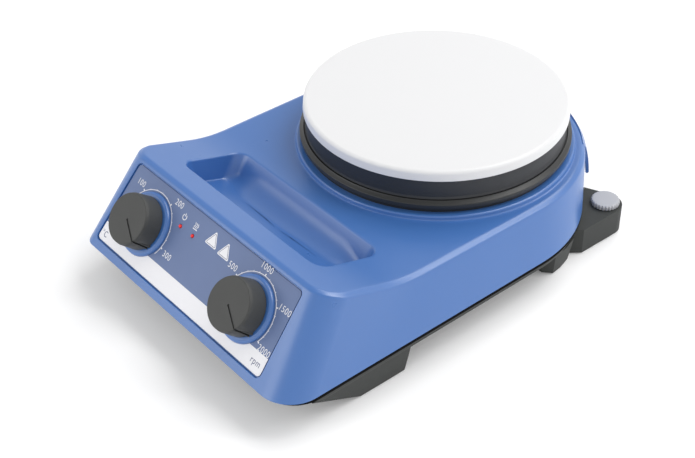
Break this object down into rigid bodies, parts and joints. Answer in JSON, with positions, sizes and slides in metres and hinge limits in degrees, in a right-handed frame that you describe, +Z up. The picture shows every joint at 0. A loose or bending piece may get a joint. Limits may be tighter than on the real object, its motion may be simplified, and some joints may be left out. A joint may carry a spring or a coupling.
{
  "type": "magnetic stirrer",
  "caption": "Low sloping hotplate stirrer with a round plate, a parts tray, two dials on a tilted panel and a rear lug for a support rod.",
  "frame": {"origin": "middle of the footprint at bench level", "axes": "+Z up, -Y towards the user, +X to the user's right"},
  "size_m": [0.1666, 0.2278, 0.065],
  "materials": {
    "blue_housing": "satin",
    "base_plastic": "matte",
    "seal_rubber": "matte",
    "foot_rubber": "matte",
    "label_film": "satin",
    "screw_steel": "satin",
    "plate_enamel": "satin",
    "collar_dark": "satin",
    "flange_dark": "satin",
    "element_mica": "matte",
    "sheet_steel": "satin",
    "insulation": "matte",
    "probe_steel": "satin",
    "motor_steel": "satin",
    "stator_copper": "satin",
    "rotor_iron": "satin",
    "bearing_steel": "polished",
    "carrier_plastic": "matte",
    "magnet_ferrite": "matte",
    "knob_plastic": "satin",
    "pot_case": "satin",
    "shaft_nylon": "satin",
    "light_red": "glossy",
    "board_green": "satin",
    "transformer_core": "satin",
    "sink_aluminium": "satin",
    "capacitor_sleeve": "glossy",
    "relay_case": "glossy",
    "terminal_green": "satin",
    "panel_plastic": "matte",
    "socket_black": "satin",
    "contact_brass": "satin",
    "fuse_glass": "glossy",
    "insert_brass": "satin",
    "plug_plastic": "satin",
    "wire_red": "satin",
    "wire_blue": "satin",
    "wire_brown": "satin"
  },
  "bodies": {
    "root": {"housing": "blue_housing", "base_pan": "base_plastic", "housing_seal": "seal_rubber", "control_label": "label_film", "foot_pads": "foot_rubber", "base_screws": "screw_steel", "heating_plate": "plate_enamel", "insulating_collar": "collar_dark", "flange_ring": "flange_dark", "heating_element": "element_mica", "pressing_plate": "sheet_steel", "pressing_screws": "screw_steel", "insulation_disc": "insulation", "heat_baffle": "sheet_steel", "plate_standoffs": "screw_steel", "standoff_nuts": "screw_steel", "temperature_probe": "probe_steel", "thermal_cutout": "probe_steel", "motor_can": "motor_steel", "motor_stator": "stator_copper", "lower_bearing": "bearing_steel", "upper_bearing": "bearing_steel", "motor_bracket": "sheet_steel", "bracket_screws": "screw_steel", "temperature_pot": "pot_case", "speed_pot": "pot_case", "pot_nuts": "screw_steel", "power_light": "light_red", "heating_light": "light_red", "control_board": "board_green", "power_board": "board_green", "board_screws": "screw_steel", "transformer": "transformer_core", "heat_sink": "sink_aluminium", "filter_capacitors": "capacitor_sleeve", "heating_relay": "relay_case", "terminal_block": "terminal_green", "rear_panel": "panel_plastic", "mains_inlet": "socket_black", "inlet_pins": "contact_brass", "switch_frame": "socket_black", "fuse_holder": "socket_black", "rod_insert": "insert_brass", "deck_grommet": "seal_rubber", "heater_leads": "wire_red", "motor_leads": "wire_blue", "mains_leads": "wire_brown"},
    "rotor": {"motor_rotor": "rotor_iron", "motor_shaft": "bearing_steel", "magnet_carrier": "carrier_plastic", "drive_magnets": "magnet_ferrite"},
    "temperature_dial": {"temperature_knob": "knob_plastic", "temperature_pot_shaft": "shaft_nylon"},
    "speed_dial": {"speed_knob": "knob_plastic", "speed_pot_shaft": "shaft_nylon"},
    "rocker": {"switch_rocker": "socket_black"},
    "fuse": {"fuse_cap": "socket_black", "fuse_link": "fuse_glass"},
    "plug": {"rod_plug": "plug_plastic"}
  },
  "joints": [
    {"name": "rotor_spin", "type": "hinge", "parent": "root", "child": "rotor", "pos_m": [0, 0.04241, 0.03], "axis": [0, 0, 1], "continuous": true},
    {"name": "temperature_turn", "type": "hinge", "parent": "root", "child": "temperature_dial", "pos_m": [-0.038, -0.09777, 0.03653], "axis": [0, -0.7649, 0.6441], "range_deg": [0, 244]},
    {"name": "speed_turn", "type": "hinge", "parent": "root", "child": "speed_dial", "pos_m": [0.038, -0.09777, 0.03653], "axis": [0, -0.7649, 0.6441], "range_deg": [0, 244]},
    {"name": "rocker_tilt", "type": "hinge", "parent": "root", "child": "rocker", "pos_m": [0.011, 0.09661, 0.0292], "axis": [1, 0, 0], "range_deg": [0, 16]},
    {"name": "fuse_pull", "type": "slide", "parent": "root", "child": "fuse", "axis": [0, 1, 0], "range_m": [0, 0.026]},
    {"name": "plug_lift", "type": "slide", "parent": "root", "child": "plug", "axis": [0, 0, 1], "range_m": [0, 0.012]}
  ]
}
